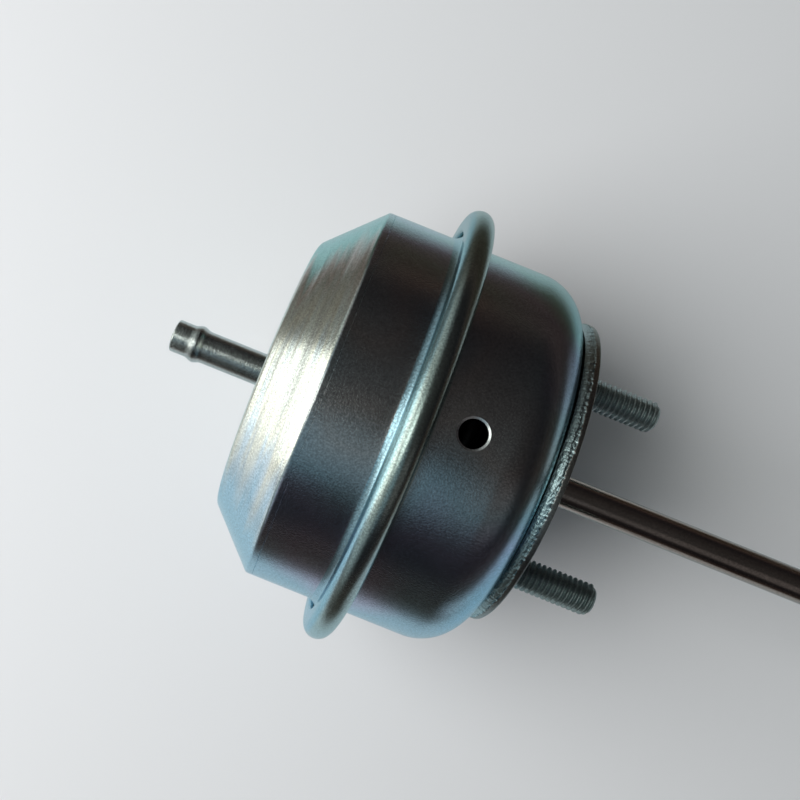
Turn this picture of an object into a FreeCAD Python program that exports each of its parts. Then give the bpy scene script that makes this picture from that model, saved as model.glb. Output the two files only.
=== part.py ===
"""Pneumatic turbo actuator, in millimetres.

A pressed steel can and a pressed cap are joined by a rolled crimp, which also clamps the edge of a rolling
diaphragm.  Boost pressure enters the cap through the hose port, pushes the diaphragm and its piston cup against
the return spring, and so drives the rod out through a bush in the can's end.  A thick round plate with two studs
is welded to that end, and the rod carries an adjustable eye held by a jam nut.

Frame: +X along the rod, outwards.  The origin is the centre of the two studs on the plate's outer face, and +Z
points away from the bench when the actuator lies on the rim of its crimp.  The can's own axis is parallel to X,
a little below the centre of the studs in Y, as the plate sits slightly off centre.
"""
import FreeCAD, Part
import math
import os

import Sketcher
from FreeCAD import Placement, Rotation, Vector

SIZES = {
    # mounting plate and studs
    "plate_thickness": 2.5,
    "plate_edge_round": 0.3,
    "plate_hole_radius": 7.2,
    "axis_drop": 1.1,
    "stud_circle": 35.4,
    "stud_turn": 8.0,
    "stud_diameter": 6.0,
    "stud_reach": 18.7,
    "stud_head_radius": 4.5,
    "stud_head_height": 1.2,
    "stud_chamfer": 0.8,
    "stud_knurl_height": 0.25,
    "stud_edge_distance": 10.6,
    # both shells
    "shell_radius": 34.5,
    # spring can with its rolled crimp
    "can_sheet": 1.1,
    "can_corner": 9.0,
    "roll_from_end": 23.15,
    "roll_height": 6.1,
    "roll_half_width": 2.3,
    "lip_height": 1.8,
    "root_fillet": 0.7,
    "vent_diameter": 4.5,
    "vent_from_end": 14.6,
    "vent_turn": 4.6,
    # pressure cap
    "cap_sheet": 1.0,
    "cap_depth": 24.15,
    "cone_width": 9.4,
    "cap_corner": 1.8,
    "cone_angle": 45.0,
    "cone_edge_round": 1.6,
    "cap_flare": 1.75,
    # hose port
    "port_diameter": 6.0,
    "port_bore": 4.0,
    "port_reach": 18.7,
    "port_chamfer": 0.35,
    "port_bead_height": 0.45,
    "port_bead_length": 3.2,
    "port_bead_from_tip": 4.5,
    "port_collar_radius": 5.0,
    "port_collar_height": 0.8,
    # diaphragm and piston
    "diaphragm_thickness": 0.8,
    "loop_lead": 0.75,
    "loop_width": 5.0,
    "cup_sheet": 1.2,
    "cup_corner": 3.0,
    "cup_depth": 24.7,
    "clamp_inset": 5.7,
    "clamp_thickness": 1.0,
    "pip_height": 2.5,
    "pip_radius": 2.0,
    "pip_inset": 6.5,
    "pip_count": 3,
    "rest_gap": 0.3,
    "rod_washer_radius": 8.0,
    "rod_washer_thickness": 1.5,
    # spring and its seat
    "spring_side_gap": 4.1,
    "wire_diameter": 3.8,
    "spring_turns": 6.0,
    "closed_pitch_share": 1.04,
    "closed_end_turns": 0.6,
    "opening_turns": 0.7,
    "ground_share": 0.2,
    "seat_thickness": 1.0,
    "seat_margin": 1.6,
    "seat_collar_height": 4.2,
    # rod guide
    "carrier_sheet": 1.0,
    "carrier_flange_radius": 12.0,
    "bush_radius": 7.0,
    "bush_length": 9.5,
    "wiper_length": 2.5,
    "retainer_thickness": 1.0,
    "retainer_bore_gap": 0.4,
    "retainer_recess": 1.0,
    "carrier_lip_gap": 1.2,
    # rod and its adjustable eye
    "rod_diameter": 6.0,
    "rod_reach": 93.0,
    "rod_chamfer": 0.8,
    "tenon_diameter": 5.0,
    "rivet_radius": 4.0,
    "rivet_height": 1.2,
    "nut_from_rod_end": 17.0,
    "nut_height": 5.0,
    "nut_flats": 10.0,
    "nut_face_share": 0.95,
    "nut_chamfer_angle": 30.0,
    "eye_barrel_radius": 4.9,
    "eye_barrel_length": 14.0,
    "eye_from_barrel": 21.0,
    "eye_radius": 7.0,
    "eye_thickness": 6.0,
    "eye_bore": 6.1,
    "eye_chamfer": 0.6,
    "eye_bottom_gap": 0.5,
    "eye_taper_slope": 0.5,
    # clearances
    "seat_clearance": 0.02,
    "running_clearance": 0.03,
    "free_gap": 0.3,
}


class Size:
    """A dimension as its present number and as the formula over the sheet that gives it."""

    def __init__(self, number, formula):
        self.number = float(number)
        self.formula = formula

    @staticmethod
    def of(value):
        return value if isinstance(value, Size) else Size(value, repr(float(value)))

    def _joined(self, other, sign, number):
        return Size(number, f"({self.formula} {sign} {other.formula})")

    def __add__(self, other):
        other = Size.of(other)
        return self._joined(other, "+", self.number + other.number)

    def __sub__(self, other):
        other = Size.of(other)
        return self._joined(other, "-", self.number - other.number)

    def __mul__(self, other):
        other = Size.of(other)
        return self._joined(other, "*", self.number * other.number)

    def __truediv__(self, other):
        other = Size.of(other)
        return self._joined(other, "/", self.number / other.number)

    def __neg__(self):
        return Size(-self.number, f"(0 - {self.formula})")


def sine(angle):
    return Size(math.sin(math.radians(angle.number)), f"sin({angle.formula})")


def cosine(angle):
    return Size(math.cos(math.radians(angle.number)), f"cos({angle.formula})")


def tangent(angle):
    return Size(math.tan(math.radians(angle.number)), f"tan({angle.formula})")


NOUGHT = Size.of(0).formula
HALF = 0.5
RIGHT_ANGLE = Size.of(90)
NUT_SIDES = 6
STEPS_PER_TURN = 16

doc = FreeCAD.newDocument("turbo_actuator")
sheet = doc.addObject("Spreadsheet::Sheet", "Sizes")
for row, (alias, number) in enumerate(SIZES.items(), start=1):
    sheet.set(f"A{row}", alias)
    sheet.set(f"B{row}", str(number))
    sheet.setAlias(f"B{row}", alias)
doc.recompute()


def size(alias):
    return Size(sheet.get(alias), f"Sizes.{alias}")


class Arc:
    """A round stretch of an outline, of a given radius, that turns left or right on its way."""

    def __init__(self, radius, left):
        self.radius = Size.of(radius)
        self.left = left


def left(radius):
    return Arc(radius, True)


def right(radius):
    return Arc(radius, False)


def arc_edge(start, end, arc):
    """The arc from start to end; its centre lies on the side to which it turns."""
    (ax, ay), (bx, by) = start, end
    chord = math.hypot(bx - ax, by - ay)
    radius = max(arc.radius.number, chord / 2)
    rise = math.sqrt(radius**2 - (chord / 2) ** 2)
    side = 1 if arc.left else -1
    cx = (ax + bx) / 2 - side * rise * (by - ay) / chord
    cy = (ay + by) / 2 + side * rise * (bx - ax) / chord
    first = math.atan2(ay - cy, ax - cx)
    last = math.atan2(by - cy, bx - cx)
    if not arc.left:
        first, last = last, first
    return Part.ArcOfCircle(Part.Circle(Vector(cx, cy, 0), Vector(0, 0, 1), radius), first, last)


def plane_of(body, role):
    return next(f for f in body.Origin.OriginFeatures if f.Role == role)


def sketch_on(body, name, role="XY_Plane"):
    sketch = body.newObject("Sketcher::SketchObject", name)
    sketch.AttachmentSupport = [(plane_of(body, role), "")]
    sketch.MapMode = "FlatFace"
    return sketch


def bind_distance(sketch, kind, edge, end, value):
    """Ties one coordinate of an edge's end to its formula, or to the axis where it is nought."""
    if value.formula == NOUGHT:
        axis = -2 if kind == "DistanceX" else -1
        sketch.addConstraint(Sketcher.Constraint("PointOnObject", edge, end, axis))
        return
    index = sketch.addConstraint(Sketcher.Constraint(kind, -1, 1, edge, end, value.number))
    sketch.setExpression(f"Constraints[{index}]", value.formula)


def draw_outline(sketch, steps):
    """Draws a closed outline: steps are corners, with an Arc between two corners where the way is round."""
    corners, arcs = [], {}
    for step in steps:
        if isinstance(step, Arc):
            arcs[len(corners) - 1] = step
        else:
            corners.append(tuple(Size.of(c) for c in step))
    count = len(corners)
    places = [(x.number, y.number) for x, y in corners]
    edges, ends = [], []
    for i in range(count):
        start, end = places[i], places[(i + 1) % count]
        if i in arcs:
            edges.append(arc_edge(start, end, arcs[i]))
            ends.append((1, 2) if arcs[i].left else (2, 1))
        else:
            edges.append(Part.LineSegment(Vector(*start, 0), Vector(*end, 0)))
            ends.append((1, 2))
    sketch.addGeometry(edges, False)
    for i in range(count):
        following = (i + 1) % count
        sketch.addConstraint(Sketcher.Constraint("Coincident", i, ends[i][1], following, ends[following][0]))
    for i, (x, y) in enumerate(corners):
        bind_distance(sketch, "DistanceX", i, ends[i][0], x)
        bind_distance(sketch, "DistanceY", i, ends[i][0], y)
    for i, arc in arcs.items():
        index = sketch.addConstraint(Sketcher.Constraint("Radius", i, arc.radius.number))
        sketch.setExpression(f"Constraints[{index}]", arc.radius.formula)


def draw_circle(sketch, x, y, radius):
    x, y, radius = Size.of(x), Size.of(y), Size.of(radius)
    circle = Part.Circle(Vector(x.number, y.number, 0), Vector(0, 0, 1), radius.number)
    edge = sketch.addGeometry(circle, False)
    bind_distance(sketch, "DistanceX", edge, 3, x)
    bind_distance(sketch, "DistanceY", edge, 3, y)
    index = sketch.addConstraint(Sketcher.Constraint("Radius", edge, radius.number))
    sketch.setExpression(f"Constraints[{index}]", radius.formula)


# Where the pieces meet, along X from the plate's outer face
axis_y = -size("axis_drop")
rod_radius = size("rod_diameter") * HALF
can_end = -size("plate_thickness")
can_inner_end = can_end - size("can_sheet")
roll_x = can_end - size("roll_from_end")
lip_face = roll_x - size("roll_half_width")
joint_face = lip_face + size("can_sheet") + size("cap_sheet")
can_flange_face = roll_x + size("roll_half_width") - size("can_sheet")
mouth_x = roll_x + size("roll_half_width") + size("root_fillet")
roll_radius = size("shell_radius") + size("roll_height")
roll_centre_radius = roll_radius - size("roll_half_width")
cup_radius = size("shell_radius") - size("can_sheet") - size("loop_width")
clamp_radius = cup_radius - size("clamp_inset")
spring_radius = cup_radius - size("cup_sheet") - size("wire_diameter") * HALF - size("spring_side_gap")
cap_end = joint_face - size("cap_depth")
clamp_x = cap_end + size("cap_sheet") + size("rest_gap")
diaphragm_x = clamp_x + size("pip_height") + size("clamp_thickness")
cup_x = diaphragm_x + size("diaphragm_thickness")
cup_inner_x = cup_x + size("cup_sheet")
shoulder_x = cup_inner_x + size("rod_washer_thickness")
seat_x = can_inner_end - size("seat_thickness")
retainer_x = -(size("retainer_recess") + size("retainer_thickness"))
wiper_x = retainer_x - size("wiper_length")
bush_x = wiper_x - size("bush_length")
carrier_x = bush_x - size("carrier_sheet")
nut_x = size("rod_reach") - size("nut_from_rod_end")
eye_x = nut_x + size("nut_height")
stud_y = size("stud_circle") * HALF * cosine(size("stud_turn"))
stud_z = size("stud_circle") * HALF * sine(size("stud_turn"))
stud_knurl_radius = size("stud_diameter") * HALF + size("stud_knurl_height")


PIECES = []


def place(piece, x, y, z=0):
    """Puts a finished piece at its place in the frame and lists it."""
    values = [Size.of(value) for value in (x, y, z)]
    piece.Placement = Placement(Vector(*(value.number for value in values)), piece.Placement.Rotation)
    for letter, value in zip("xyz", values):
        piece.setExpression(f"Placement.Base.{letter}", value.formula)
    PIECES.append(piece)
    return piece


def new_body(label):
    body = doc.addObject("PartDesign::Body", label)
    body.Label = label
    return body


def revolve(body, steps, kind="PartDesign::Revolution"):
    """Turns an outline, drawn as (distance along the axis, radius), once round the body's X axis."""
    sketch = sketch_on(body, f"{body.Label}_outline")
    draw_outline(sketch, steps)
    turned = body.newObject(kind, f"{body.Label}_turned")
    turned.Profile = sketch
    turned.ReferenceAxis = (sketch, ["H_Axis"])
    turned.Angle = 360
    return turned


def turned_piece(label, steps, x, y=axis_y, z=0):
    body = new_body(label)
    revolve(body, steps)
    return place(body, x, y, z)


def ring(start, end, inner, outer):
    return [(start, inner), (start, outer), (end, outer), (end, inner)]


def make_pressure_cap():
    """Flat end, cone, cylinder and flange, one sheet thick; the flange's root is flared for the crimp's lip."""
    sheet_t, radius = size("cap_sheet"), size("shell_radius")
    face = radius - size("cone_width")
    cone, flare = size("cone_angle"), size("cap_flare")
    cone_length = size("cone_width") / tangent(cone)
    face_turn = tangent((RIGHT_ANGLE - cone) * HALF)
    side_turn = tangent(cone * HALF)
    corner_cut = size("cap_corner") * face_turn
    edge_cut = size("cone_edge_round") * side_turn
    hole = size("port_diameter") * HALF + size("seat_clearance")
    flange_face = size("cap_depth") - sheet_t
    flange_radius = roll_centre_radius - size("seat_clearance")
    return turned_piece("pressure_cap", [
        (0, hole),
        (0, face - corner_cut), right(size("cap_corner")),
        (corner_cut * cosine(cone), face + corner_cut * sine(cone)),
        (cone_length - edge_cut * cosine(cone), radius - edge_cut * sine(cone)), right(size("cone_edge_round")),
        (cone_length + edge_cut, radius),
        (flange_face - flare, radius), left(flare),
        (flange_face, radius + flare),
        (flange_face, flange_radius),
        (size("cap_depth"), flange_radius),
        (size("cap_depth"), radius + flare), right(flare + sheet_t),
        (flange_face - flare, radius - sheet_t),
        (cone_length + sheet_t * side_turn, radius - sheet_t),
        (sheet_t, face - sheet_t * face_turn),
        (sheet_t, hole),
    ], cap_end)


def make_hose_port():
    """Tube with a swaged bead; an inner collar is brazed to the cap's inner face."""
    radius, bore, cut = size("port_diameter") * HALF, size("port_bore") * HALF, size("port_chamfer")
    half_bead = size("port_bead_length") * HALF
    height, middle = size("port_bead_height"), size("port_bead_from_tip")
    bead_arc = half_bead * half_bead / height * HALF + height * HALF
    collar_x = size("port_reach") + size("cap_sheet")
    inner_end = collar_x + size("port_collar_height")
    return turned_piece("hose_port", [
        (0, bore),
        (0, radius - cut),
        (cut, radius),
        (middle - half_bead, radius), right(bead_arc),
        (middle + half_bead, radius),
        (collar_x, radius),
        (collar_x, size("port_collar_radius")),
        (inner_end, size("port_collar_radius")),
        (inner_end, bore),
    ], cap_end - size("port_reach"))


def make_spring_can():
    """Drawn can: end, large corner, cylinder, flange and the roll whose lip lies on the cap's flange."""
    sheet_t, radius, corner = size("can_sheet"), size("shell_radius"), size("can_corner")
    half, root = size("roll_half_width"), size("root_fillet")
    lip = radius + size("lip_height")
    nose = sheet_t * HALF
    end = half + size("roll_from_end")
    foot = half * 2 + root
    hole = size("bush_radius") + size("seat_clearance")
    can = new_body("spring_can")
    revolve(can, [
        (0, lip + nose),
        (0, roll_centre_radius), right(half),
        (half, roll_radius), right(half),
        (half * 2, roll_centre_radius),
        (half * 2, radius + root), left(root),
        (foot, radius),
        (end - corner, radius), right(corner),
        (end, radius - corner),
        (end, hole),
        (end - sheet_t, hole),
        (end - sheet_t, radius - corner), left(corner - sheet_t),
        (end - corner, radius - sheet_t),
        (foot, radius - sheet_t), right(root + sheet_t),
        (half * 2 - sheet_t, radius + root),
        (half * 2 - sheet_t, roll_centre_radius), left(half - sheet_t),
        (half, roll_radius - sheet_t), left(half - sheet_t),
        (sheet_t, roll_centre_radius),
        (sheet_t, lip + nose), right(nose),
        (nose, lip), right(nose),
    ])
    vent = sketch_on(can, "vent_outline")
    vent.AttachmentOffset = Placement(Vector(), Rotation(Vector(1, 0, 0), -size("vent_turn").number))
    vent.setExpression("AttachmentOffset.Rotation.Angle", (-size("vent_turn")).formula)
    draw_circle(vent, end - size("vent_from_end"), 0, size("vent_diameter") * HALF)
    hole_cut = can.newObject("PartDesign::Pocket", "vent_hole")
    hole_cut.Profile = vent
    hole_cut.Reversed = True
    hole_cut.setExpression("Length", roll_radius.formula)
    return place(can, lip_face, axis_y)


def make_diaphragm():
    """Rolling diaphragm: flat on the cup's crown, down its skirt, one loop, and a bead held in the crimp."""
    thick, gap = size("diaphragm_thickness"), size("free_gap")
    start = diaphragm_x
    inner_leg = cup_radius + gap
    outer_leg = size("shell_radius") - size("can_sheet") - gap
    outer_loop = (outer_leg - inner_leg) * HALF
    middle = (outer_leg + inner_leg) * HALF
    corner = size("cup_corner") + gap
    loop_x = mouth_x + size("loop_lead") - start
    mouth = mouth_x - start
    over_mouth = size("root_fillet") + size("can_sheet") + gap
    neck_radius = size("shell_radius") + size("root_fillet")
    bead_inner = size("shell_radius") + size("cap_flare")
    bead_outer = roll_centre_radius - gap
    hole = size("tenon_diameter") * HALF + size("seat_clearance")
    return turned_piece("diaphragm", [
        (0, hole),
        (0, inner_leg - corner), right(corner + thick),
        (thick + corner, inner_leg + thick),
        (loop_x, inner_leg + thick), left(outer_loop - thick),
        (loop_x + outer_loop - thick, middle), left(outer_loop - thick),
        (loop_x, outer_leg - thick),
        (mouth, outer_leg - thick), right(over_mouth + thick),
        (mouth - over_mouth - thick, neck_radius),
        (mouth - over_mouth - thick, bead_inner),
        (joint_face - start, bead_inner),
        (joint_face - start, bead_outer),
        (can_flange_face - start, bead_outer),
        (can_flange_face - start, bead_inner),
        (mouth - over_mouth, bead_inner),
        (mouth - over_mouth, neck_radius), left(over_mouth),
        (mouth, outer_leg),
        (loop_x, outer_leg), right(outer_loop),
        (loop_x + outer_loop, middle), right(outer_loop),
        (loop_x, inner_leg),
        (thick + corner, inner_leg), left(corner),
        (thick, inner_leg - corner),
        (thick, hole),
    ], start)


def make_piston_cup():
    """Deep-drawn cup, open towards the can's end; its skirt guides the diaphragm's loop."""
    sheet_t, radius, corner, depth = size("cup_sheet"), cup_radius, size("cup_corner"), size("cup_depth")
    hole = size("tenon_diameter") * HALF + size("seat_clearance")
    return turned_piece("piston_cup", [
        (0, hole),
        (0, radius - corner), right(corner),
        (corner, radius),
        (depth, radius),
        (depth, radius - sheet_t),
        (corner, radius - sheet_t), left(corner - sheet_t),
        (sheet_t, radius - corner),
        (sheet_t, hole),
    ], cup_x)


def make_clamp_plate():
    """Disc on the pressure side of the diaphragm; its pips keep it off the port when the piston rests."""
    pips = size("pip_height")
    end = pips + size("clamp_thickness")
    hole = size("tenon_diameter") * HALF + size("seat_clearance")
    plate = new_body("clamp_plate")
    revolve(plate, ring(pips, end, hole, clamp_radius))
    pip_sketch = sketch_on(plate, "pip_outline", "YZ_Plane")
    draw_circle(pip_sketch, clamp_radius - size("pip_inset"), 0, size("pip_radius"))
    pip = plate.newObject("PartDesign::Pad", "pip")
    pip.Profile = pip_sketch
    pip.setExpression("Length", (pips + size("clamp_thickness") * HALF).formula)
    pip_ring = plate.newObject("PartDesign::PolarPattern", "pips")
    pip_ring.Originals = [pip]
    pip_ring.Axis = (plane_of(plate, "X_Axis"), [""])
    pip_ring.Angle = 360
    pip_ring.Occurrences = int(size("pip_count").number)
    pip_ring.setExpression("Occurrences", size("pip_count").formula)
    plate.Tip = pip_ring
    return place(plate, clamp_x, axis_y)


def make_rod_washer():
    hole = size("tenon_diameter") * HALF + size("seat_clearance")
    steps = ring(0, size("rod_washer_thickness"), hole, size("rod_washer_radius"))
    return turned_piece("rod_washer", steps, cup_inner_x)


def make_actuator_rod():
    """Riveted head, tenon through cup, diaphragm and clamp plate, then the ground rod with a chamfered end."""
    head, tenon = size("rivet_height"), size("tenon_diameter") * HALF
    start = clamp_x + size("pip_height") - head
    shoulder = shoulder_x - start
    end = size("rod_reach") - start
    cut = size("rod_chamfer")
    return turned_piece("actuator_rod", [
        (0, 0),
        (0, size("rivet_radius") - head), right(head),
        (head, size("rivet_radius")),
        (head, tenon),
        (shoulder, tenon),
        (shoulder, rod_radius),
        (end - cut, rod_radius),
        (end, rod_radius - cut),
        (end, 0),
    ], start)


def openness(turn, turns):
    """Nought in a closed turn and one in an open turn, with a smooth change between them."""
    from_end = min(turn, turns - turn)
    past_closed = max(from_end - size("closed_end_turns").number, 0.0)
    share = min(past_closed / size("opening_turns").number, 1.0)
    return share * share * (3 - 2 * share)


def spring_path(length, wire, turns):
    """Centre line of a coil whose first and last turns lie close and are ground flat at both ends."""
    count = int(turns * STEPS_PER_TURN)
    radius = spring_radius.number
    closed_pitch = size("closed_pitch_share").number * wire
    grind = size("ground_share").number * wire
    open_shares = [openness((i + HALF) / STEPS_PER_TURN, turns) for i in range(count)]
    open_turns = sum(open_shares) / STEPS_PER_TURN
    extra_pitch = (length + 2 * grind - turns * closed_pitch) / open_turns
    points, x = [], -grind
    for i in range(count + 1):
        angle = 2 * math.pi * i / STEPS_PER_TURN
        points.append(Vector(x, radius * math.cos(angle), radius * math.sin(angle)))
        if i < count:
            x += (closed_pitch + extra_pitch * open_shares[i]) / STEPS_PER_TURN
    return points


def make_compression_spring():
    """Round wire carried along the coil, then ground flat where it meets the cup and the seat."""
    wire = size("wire_diameter").number
    length = (seat_x - cup_inner_x).number
    path = Part.BSplineCurve()
    path.interpolate(spring_path(length, wire, size("spring_turns").number))
    section = Part.Circle(path.value(path.FirstParameter), path.tangent(path.FirstParameter)[0], wire / 2)
    sweep = Part.BRepOffsetAPI.MakePipeShell(Part.Wire(path.toShape()))
    sweep.setBiNormalMode(Vector(1, 0, 0))
    sweep.add(Part.Wire(section.toShape()))
    sweep.build()
    sweep.makeSolid()
    outside = spring_radius.number + wire
    between_faces = Part.makeCylinder(outside, length, Vector(), Vector(1, 0, 0))
    spring = doc.addObject("Part::Feature", "compression_spring")
    spring.Label = "compression_spring"
    spring.Shape = sweep.shape().common(between_faces)
    return place(spring, cup_inner_x, axis_y)


def make_spring_seat():
    """Flat ring on the can's end with a collar inside the spring."""
    thick = size("seat_thickness")
    half_wire = size("wire_diameter") * HALF
    collar = spring_radius - half_wire - size("free_gap")
    outer = spring_radius + half_wire + size("seat_margin")
    rise = size("seat_collar_height")
    flange_inner = size("carrier_flange_radius") + size("seat_clearance")
    return turned_piece("spring_seat", [
        (0, collar - thick),
        (0, collar),
        (rise, collar),
        (rise, outer),
        (rise + thick, outer),
        (rise + thick, flange_inner),
        (rise, flange_inner),
        (rise, collar - thick),
    ], seat_x - rise)


def make_bush_carrier():
    """Pressed cup: a flange on the can's end, a tube round the bush and a lip behind it."""
    thick = size("carrier_sheet")
    inner = size("bush_radius") + size("seat_clearance")
    flange_x = can_inner_end - thick - carrier_x
    return turned_piece("bush_carrier", [
        (0, rod_radius + size("carrier_lip_gap")),
        (0, inner + thick),
        (flange_x, inner + thick),
        (flange_x, size("carrier_flange_radius")),
        (flange_x + thick, size("carrier_flange_radius")),
        (flange_x + thick, inner),
        (thick, inner),
        (thick, rod_radius + size("carrier_lip_gap")),
    ], carrier_x)


def make_rod_guide():
    """The bush, the wiper on its outer end and the washer that holds both, pressed in the plate."""
    bore = rod_radius + size("running_clearance")
    turned_piece("guide_bush", ring(0, size("bush_length"), bore, size("bush_radius")), bush_x)
    turned_piece("rod_wiper", ring(0, size("wiper_length"), bore, size("bush_radius")), wiper_x)
    turned_piece("wiper_retainer", ring(
        0, size("retainer_thickness"), rod_radius + size("retainer_bore_gap"),
        size("plate_hole_radius") - size("seat_clearance")), retainer_x)


def make_mounting_plate():
    """Round plate, drilled for the rod and the two studs, and sunk on the can's side for their heads."""
    thick, edge = size("plate_thickness"), size("plate_edge_round")
    outer = size("stud_circle") * HALF + size("stud_edge_distance")
    head_hole = size("stud_head_radius") + size("seat_clearance")
    neck_hole = stud_knurl_radius + size("seat_clearance")
    plate = new_body("mounting_plate")
    revolve(plate, [
        (0, 0),
        (0, outer),
        (thick - edge, outer), right(edge),
        (thick, outer - edge),
        (thick, 0),
    ])
    cuts = [
        ("rod_hole", axis_y, Size.of(0), size("plate_hole_radius"), thick),
        ("upper_hole", stud_y, -stud_z, neck_hole, thick),
        ("upper_sink", stud_y, -stud_z, head_hole, size("stud_head_height")),
        ("lower_hole", -stud_y, stud_z, neck_hole, thick),
        ("lower_sink", -stud_y, stud_z, head_hole, size("stud_head_height")),
    ]
    for name, y, z, radius, depth in cuts:
        sketch = sketch_on(plate, f"{name}_outline", "YZ_Plane")
        draw_circle(sketch, y, z, radius)
        cut = plate.newObject("PartDesign::Pocket", name)
        cut.Profile = sketch
        cut.Reversed = True
        cut.setExpression("Length", depth.formula)
    return place(plate, can_end, 0)


def make_stud(label, y, z):
    """Pressed-in stud: flat head sunk in the plate, knurled neck, and a thread left plain, to its outer diameter."""
    head, radius, cut = size("stud_head_height"), size("stud_diameter") * HALF, size("stud_chamfer")
    plate_face = size("plate_thickness")
    end = plate_face + size("stud_reach")
    return turned_piece(label, [
        (0, 0),
        (0, size("stud_head_radius")),
        (head, size("stud_head_radius")),
        (head, stud_knurl_radius),
        (plate_face, stud_knurl_radius),
        (plate_face, radius),
        (end - cut, radius),
        (end, radius - cut),
        (end, 0),
    ], can_end, y, z)


def make_jam_nut():
    """Thin hexagon nut, its corners cut back by a shallow cone at both ends."""
    height, flats = size("nut_height"), size("nut_flats")
    face_radius = flats * HALF * size("nut_face_share")
    spread = face_radius + height / tangent(size("nut_chamfer_angle"))
    half_side_turn = Size.of(180 / NUT_SIDES)
    hexagon = doc.addObject("Part::Prism", "nut_hexagon")
    hexagon.Polygon = NUT_SIDES
    hexagon.setExpression("Circumradius", (flats * HALF / cosine(half_side_turn)).formula)
    hexagon.setExpression("Height", height.formula)
    solids = [hexagon]
    for name, low, high in (("nut_lower_cone", face_radius, spread), ("nut_upper_cone", spread, face_radius)):
        cone = doc.addObject("Part::Cone", name)
        cone.setExpression("Radius1", low.formula)
        cone.setExpression("Radius2", high.formula)
        cone.setExpression("Height", height.formula)
        solids.append(cone)
    blank = doc.addObject("Part::MultiCommon", "nut_blank")
    blank.Shapes = solids
    bore = doc.addObject("Part::Cylinder", "nut_bore")
    bore.setExpression("Radius", (rod_radius + size("seat_clearance")).formula)
    bore.setExpression("Height", height.formula)
    nut = doc.addObject("Part::Cut", "jam_nut")
    nut.Base = blank
    nut.Tool = bore
    nut.Placement = Placement(Vector(), Rotation(Vector(0, 1, 0), 90))
    return place(nut, nut_x, axis_y)


def make_rod_end():
    """Screwed barrel that tapers into a flat round eye; the eye's bore runs along Z."""
    bore = rod_radius + size("seat_clearance")
    barrel, length, cut = size("eye_barrel_radius"), size("eye_barrel_length"), size("eye_chamfer")
    centre, thick = size("eye_from_barrel"), size("eye_thickness")
    bottom = size("rod_reach") - eye_x + size("eye_bottom_gap")
    taper_end = length + (barrel - thick * HALF) / size("eye_taper_slope")
    end = new_body("rod_end")
    revolve(end, [
        (0, bore),
        (0, barrel - cut),
        (cut, barrel),
        (length, barrel),
        (taper_end, thick * HALF),
        (taper_end, 0),
        (bottom, 0),
        (bottom, bore),
    ])
    outline = sketch_on(end, "eye_outline", "XZ_Plane")
    outline.setExpression("AttachmentOffset.Base.x", centre.formula)
    outline.setExpression("AttachmentOffset.Base.y", (-(thick * HALF)).formula)
    hole, outer = size("eye_bore") * HALF, size("eye_radius")
    draw_outline(outline, [
        (hole, 0),
        (outer - cut, 0),
        (outer, cut),
        (outer, thick - cut),
        (outer - cut, thick),
        (hole, thick),
    ])
    eye = end.newObject("PartDesign::Revolution", "eye")
    eye.Profile = outline
    eye.ReferenceAxis = (outline, ["V_Axis"])
    eye.Angle = 360
    return place(end, eye_x, axis_y)


def export_pieces():
    """Stops at any failed feature or bad solid, then writes each piece to its own file."""
    failed = [f"{item.Label}: {item.State}" for item in doc.Objects if {"Invalid", "Error"} & set(item.State)]
    if failed:
        raise RuntimeError("failed features: " + "; ".join(failed))
    for piece in PIECES:
        if piece.Shape.isNull() or not piece.Shape.isValid() or not piece.Shape.Solids:
            raise RuntimeError(f"bad shape: {piece.Label}")
    os.makedirs("parts", exist_ok=True)
    for piece in PIECES:
        piece.Shape.exportStep(f"parts/{piece.Label}.step")
        box = piece.Shape.BoundBox
        print(f"{piece.Label}: {len(piece.Shape.Solids)} solid, {piece.Shape.Volume:.1f} mm3, "
              f"x {box.XMin:.2f} to {box.XMax:.2f}, y {box.YMin:.2f} to {box.YMax:.2f}")


make_pressure_cap()
make_hose_port()
make_spring_can()
make_diaphragm()
make_piston_cup()
make_clamp_plate()
make_rod_washer()
make_actuator_rod()
make_compression_spring()
make_spring_seat()
make_bush_carrier()
make_rod_guide()
make_mounting_plate()
make_stud("stud_upper", stud_y, -stud_z)
make_stud("stud_lower", -stud_y, stud_z)
make_jam_nut()
make_rod_end()
doc.recompute()
export_pieces()
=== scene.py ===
# %% [markdown]
# # A pneumatic turbo actuator, dressed in Blender
# Two pressed steel shells are joined by a rolled crimp. A hose port blows the cap up, a rubber diaphragm
# pushes the rod out at the other end, and a round plate with two studs holds it all to the engine.
# The construction comes from CAD. Here each piece that shows gets the surface of the real one: the satin
# blue-white zinc, the turned marks on the cone, the rolled lip, the sheared edge of the plate and the
# threads.

import math

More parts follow.
